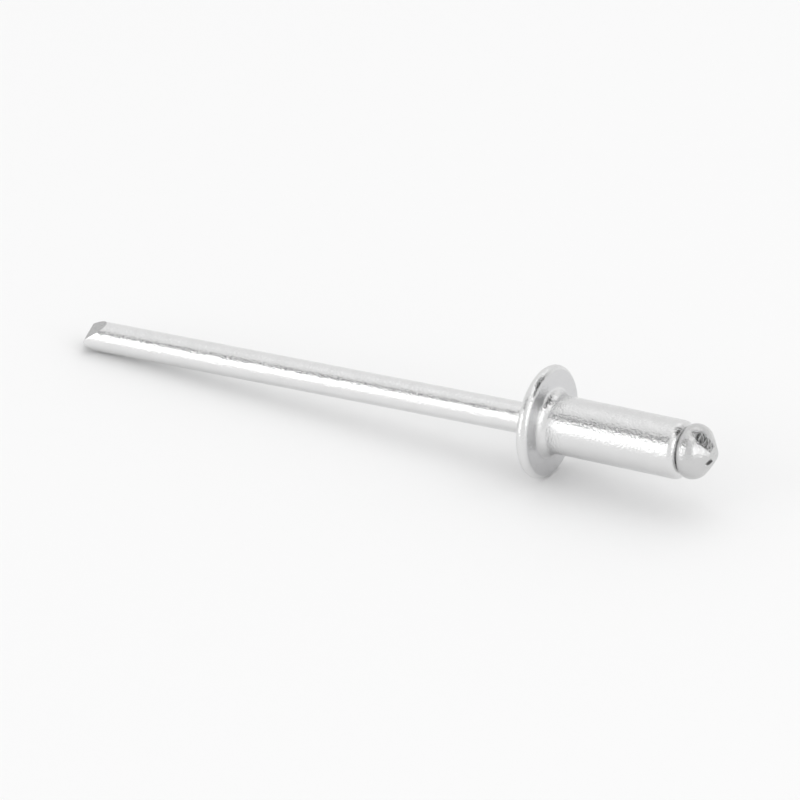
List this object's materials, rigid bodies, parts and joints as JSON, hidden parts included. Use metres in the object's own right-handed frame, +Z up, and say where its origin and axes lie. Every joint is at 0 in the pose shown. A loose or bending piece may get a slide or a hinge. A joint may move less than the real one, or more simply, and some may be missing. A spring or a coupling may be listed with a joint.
{
  "type": "pop rivet",
  "caption": "Open-end blind rivet with a dome head, a filleted root, a plain shank and a headed pull mandrel with a sheared tail.",
  "frame": {"origin": "middle of the head's flat underside, on the rivet body's axis", "axes": "+Z is up, +X runs along the rivet towards its blind end, tipped up 3.2 degrees as it lies on the head's rim and the tail of its wire"},
  "size_m": [0.0393, 0.0062, 0.0062],
  "materials": {
    "body_aluminium": "tumbled bright",
    "mandrel_steel": "drawn and clear zinc plated"
  },
  "bodies": {
    "root": {"rivet_body": "body_aluminium", "mandrel": "mandrel_steel"}
  },
  "joints": []
}
